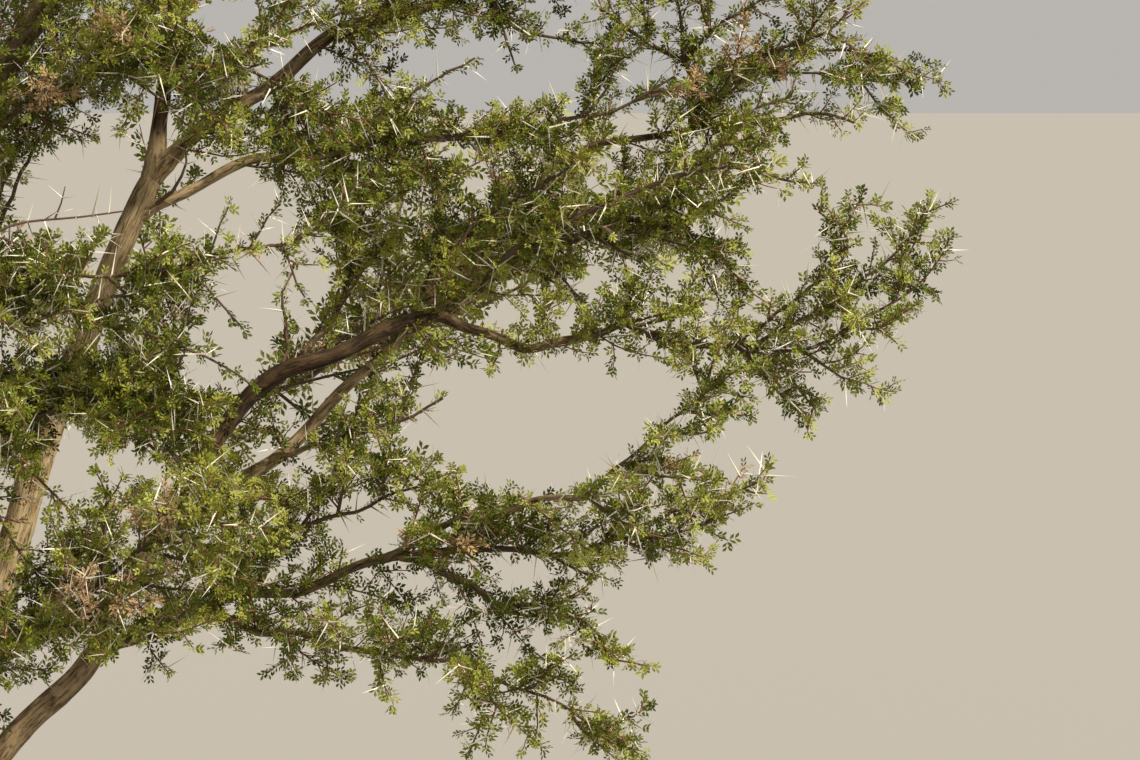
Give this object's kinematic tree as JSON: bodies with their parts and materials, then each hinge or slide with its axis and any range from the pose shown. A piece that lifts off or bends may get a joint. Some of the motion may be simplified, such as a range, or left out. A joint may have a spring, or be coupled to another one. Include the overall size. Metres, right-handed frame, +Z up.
{
  "type": "acacia tree",
  "caption": "Low-forking thorny acacia tree with an open rounded crown: flared trunk with a flat foot, tapering limbs and separate masses of twigs and fine leaves.",
  "frame": {"origin": "middle of the flat cut under the trunk, at ground level", "axes": "+X to the right as seen from the front, across the crown's widest reach; +Y away from the viewer; +Z up"},
  "size_m": [3.7469, 3.0472, 3.1565],
  "materials": {
    "trunk": "rough bark",
    "boughs": "rough bark",
    "foliage": "matt leaves"
  },
  "bodies": {
    "root": {"trunk": "trunk", "back_left_bough": "boughs", "back_right_bough": "boughs", "back_stem": "boughs", "drooping_bough": "boughs", "far_bough": "boughs", "front_left_bough": "boughs", "front_low_bough": "boughs", "front_middle_bough": "boughs", "front_stem": "boughs", "front_upper_bough": "boughs", "hanging_bough": "boughs", "high_bough": "boughs", "high_leader": "boughs", "high_side_bough": "boughs", "inner_bough": "boughs", "leader_stem": "boughs", "left_back_bough": "boughs", "left_low_bough": "boughs", "left_side_bough": "boughs", "left_stem": "boughs", "level_bough": "boughs", "low_bough": "boughs", "low_side_bough": "boughs", "lower_right_bough": "boughs", "middle_bough": "boughs", "pale_bough": "boughs", "pale_side_bough": "boughs", "reaching_bough": "boughs", "right_high_stem": "boughs", "right_low_stem": "boughs", "rising_bough": "boughs", "back_left_foliage": "foliage", "back_right_foliage": "foliage", "back_stem_foliage": "foliage", "drooping_foliage": "foliage", "far_upper_foliage": "foliage", "front_left_foliage": "foliage", "front_low_foliage": "foliage", "front_middle_foliage": "foliage", "front_stem_foliage": "foliage", "front_upper_foliage": "foliage", "hanging_foliage": "foliage", "high_leader_foliage": "foliage", "high_right_foliage": "foliage", "high_side_foliage": "foliage", "inner_right_foliage": "foliage", "inner_upper_foliage": "foliage", "leader_foliage": "foliage", "left_back_foliage": "foliage", "left_low_foliage": "foliage", "left_side_foliage": "foliage", "left_stem_foliage": "foliage", "level_foliage": "foliage", "low_foliage": "foliage", "low_side_foliage": "foliage", "lower_right_foliage": "foliage", "pale_side_foliage": "foliage", "right_middle_foliage": "foliage", "right_tip_foliage": "foliage"}
  },
  "joints": []
}
